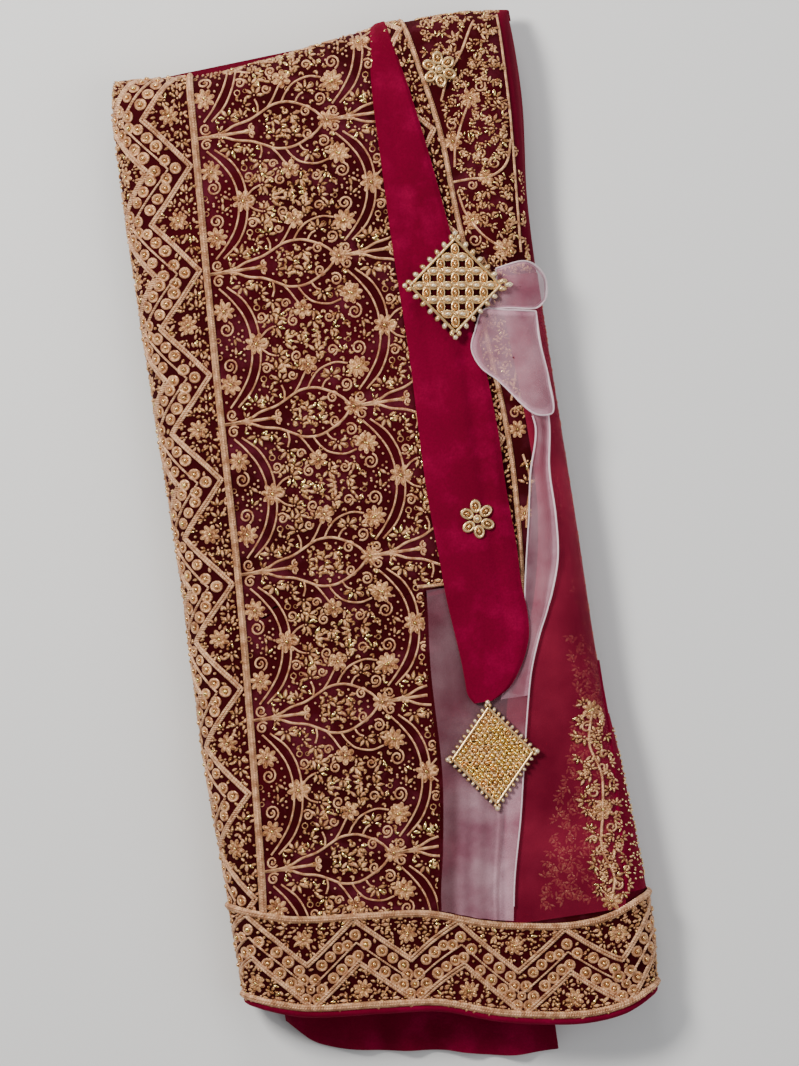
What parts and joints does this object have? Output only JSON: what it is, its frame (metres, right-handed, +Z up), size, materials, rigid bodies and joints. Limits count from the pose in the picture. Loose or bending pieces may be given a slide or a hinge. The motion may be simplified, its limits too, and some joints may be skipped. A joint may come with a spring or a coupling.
{
  "type": "folded lehenga skirt with sash",
  "caption": "Velvet lehenga skirt with gold embroidery, folded in half and lying flat, with broad borders, sheer net overlay, plain velvet sash, organza tie and diamond ornaments.",
  "frame": {"origin": "centre of the footprint on the surface that the folded skirt lies on", "axes": "+X across to the right, +Y from the hem to the top fold, +Z up off the surface"},
  "size_m": [0.2345, 0.5796, 0.057],
  "materials": {
    "dark_velvet": "deep maroon velvet ground under gold embroidery",
    "crimson_velvet": "crimson velvet with soft pile sheen",
    "plain_velvet": "plain velvet folds, a little darker",
    "gold_thread": "matt antique gold thread work with sequins and ring stones",
    "net": "sheer crimson net",
    "organza": "sheer pale mauve organza with bright edges",
    "ornament_gold": "champagne gold beads and cut stones"
  },
  "bodies": {
    "root": {"folded_layers": "plain_velvet", "front_panel": "dark_velvet", "panel_tab": "dark_velvet", "tab_cord": "gold_thread", "side_border": "gold_thread", "panel_cord": "gold_thread", "right_panel": "dark_velvet", "right_border": "gold_thread", "right_cord": "gold_thread", "right_fold": "plain_velvet", "edge_strip": "gold_thread", "net_overlay": "net", "net_binding": "crimson_velvet", "hem_border": "gold_thread", "hem_cord_upper": "gold_thread", "hem_cord_lower": "gold_thread", "hem_piping": "crimson_velvet", "under_hem": "crimson_velvet", "velvet_sash": "crimson_velvet", "organza_spread": "organza", "organza_tail": "organza", "organza_loop": "organza", "organza_lobe": "organza", "ornament_upper": "ornament_gold", "ornament_lower": "ornament_gold", "flower_upper": "ornament_gold", "flower_lower": "ornament_gold"}
  },
  "joints": []
}
